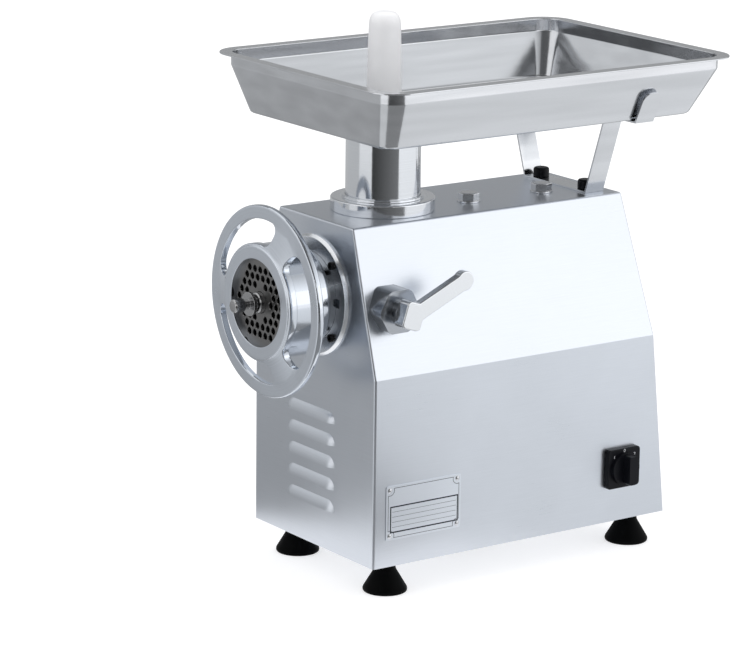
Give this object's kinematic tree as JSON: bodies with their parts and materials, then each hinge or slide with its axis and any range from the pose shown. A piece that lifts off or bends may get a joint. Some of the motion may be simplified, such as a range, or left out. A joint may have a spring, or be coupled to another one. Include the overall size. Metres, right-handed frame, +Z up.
{
  "type": "electric meat grinder",
  "caption": "Electric meat grinder with a tapered steel casing on rubber feet, feed tray and pusher, handwheel nut over a perforated plate, clamp lever and rotary switch.",
  "frame": {"origin": "on the floor plane of the feet, under the middle of the whole machine", "axes": "+X to the side with the clamp lever and switch, +Y from the plate towards the back, +Z up"},
  "size_m": [0.322, 0.523, 0.584],
  "materials": {
    "casing_steel": "satin brushed stainless sheet",
    "tray_steel": "polished stainless sheet",
    "polished_steel": "polished",
    "plate_steel": "ground",
    "fastener_steel": "bright",
    "black_screw": "black oxide",
    "black_plastic": "fine moulded texture",
    "foot_rubber": "moulded matt",
    "pusher_plastic": "waxy translucent white",
    "cast_aluminium": "as cast",
    "cast_socket": "machined casting",
    "gear_steel": "oiled machined steel",
    "seal_rubber": "moulded",
    "motor_paint": "enamel",
    "core_steel": "laminated",
    "winding_copper": "varnished copper",
    "fan_plastic": "moulded",
    "capacitor_can": "drawn can",
    "nameplate_metal": "anodised satin"
  },
  "bodies": {
    "cabinet": {"front_panel": "casing_steel", "rear_panel": "casing_steel", "base_plate": "casing_steel", "top_plate": "casing_steel", "right_side_panel": "casing_steel", "left_side_panel": "casing_steel", "tray_bracket": "tray_steel", "throat_flange": "polished_steel", "feed_tube": "polished_steel", "head_flange": "polished_steel", "clamp_boss": "polished_steel", "barrel": "polished_steel", "grinder_plate": "plate_steel", "plate_pin": "plate_steel", "top_bolts": "fastener_steel", "rear_panel_screws": "fastener_steel", "foot_bolts": "fastener_steel", "socket_bolts": "fastener_steel", "gearbox_screws": "fastener_steel", "nameplate_rivets": "fastener_steel", "head_flange_screws": "black_screw", "switch_plate": "black_plastic", "switch_body": "black_plastic", "cable_gland": "black_plastic", "foot_front_right": "foot_rubber", "foot_front_left": "foot_rubber", "foot_rear_right": "foot_rubber", "foot_rear_left": "foot_rubber", "gearbox_housing": "cast_aluminium", "gearbox_cover": "cast_aluminium", "motor_front_bell": "cast_aluminium", "motor_rear_bell": "cast_aluminium", "head_socket": "cast_socket", "gearbox_bearings": "gear_steel", "motor_bearings": "gear_steel", "output_seal": "seal_rubber", "motor_shell": "motor_paint", "motor_cradle": "motor_paint", "stator_core": "core_steel", "stator_windings": "winding_copper", "start_capacitor": "capacitor_can", "nameplate": "nameplate_metal"},
    "feed_drive": {"feed_screw": "plate_steel", "knife": "plate_steel", "front_stud": "polished_steel", "output_shaft": "gear_steel", "output_gear": "gear_steel"},
    "countershaft": {"pinion_shaft": "gear_steel", "counter_gear": "gear_steel"},
    "rotor": {"rotor_shaft": "gear_steel", "rotor_core": "core_steel", "cooling_fan": "fan_plastic"},
    "handwheel": {"handwheel_nut": "polished_steel"},
    "clamp": {"clamp_screw": "polished_steel", "clamp_lever": "polished_steel"},
    "switch": {"switch_knob": "black_plastic"},
    "tray": {"tray": "tray_steel"},
    "pusher": {"pusher": "pusher_plastic"},
    "right_knob": {"bracket_knob_right": "black_plastic"},
    "left_knob": {"bracket_knob_left": "black_plastic"}
  },
  "joints": [
    {"name": "feed_drive_spin", "type": "hinge", "parent": "cabinet", "child": "feed_drive", "pos_m": [0, 0, 0.3], "axis": [0, 1, 0], "continuous": true},
    {"name": "countershaft_spin", "type": "hinge", "parent": "cabinet", "child": "countershaft", "pos_m": [0, 0, 0.205], "axis": [0, 1, 0], "continuous": true},
    {"name": "rotor_spin", "type": "hinge", "parent": "cabinet", "child": "rotor", "pos_m": [0, 0, 0.115], "axis": [0, 1, 0], "continuous": true},
    {"name": "handwheel_turn", "type": "hinge", "parent": "cabinet", "child": "handwheel", "pos_m": [0, -0.2225, 0.3], "axis": [0, 1, 0], "range_deg": [0, 900]},
    {"name": "clamp_turn", "type": "hinge", "parent": "cabinet", "child": "clamp", "pos_m": [0.12, -0.1325, 0.3], "axis": [1, 0, 0], "range_deg": [0, 270]},
    {"name": "switch_turn", "type": "hinge", "parent": "cabinet", "child": "switch", "pos_m": [0.115, 0.1572, 0.0938], "axis": [1, 0, 0], "range_deg": [-45, 45]},
    {"name": "tray_lift", "type": "slide", "parent": "cabinet", "child": "tray", "axis": [0, 0, 1], "range_m": [0, 0.06]},
    {"name": "pusher_lift", "type": "slide", "parent": "cabinet", "child": "pusher", "axis": [0, 0, 1], "range_m": [0, 0.15]},
    {"name": "right_knob_turn", "type": "hinge", "parent": "cabinet", "child": "right_knob", "pos_m": [0.038, 0.1565, 0.388], "axis": [0, 0, 1], "range_deg": [0, 720]},
    {"name": "left_knob_turn", "type": "hinge", "parent": "cabinet", "child": "left_knob", "pos_m": [-0.038, 0.1565, 0.388], "axis": [0, 0, 1], "range_deg": [0, 720]}
  ],
  "couplings": [
    {"joint": "countershaft_spin", "follows": "feed_drive_spin", "ratio": -2.4545},
    {"joint": "rotor_spin", "follows": "feed_drive_spin", "ratio": 7.3636}
  ]
}
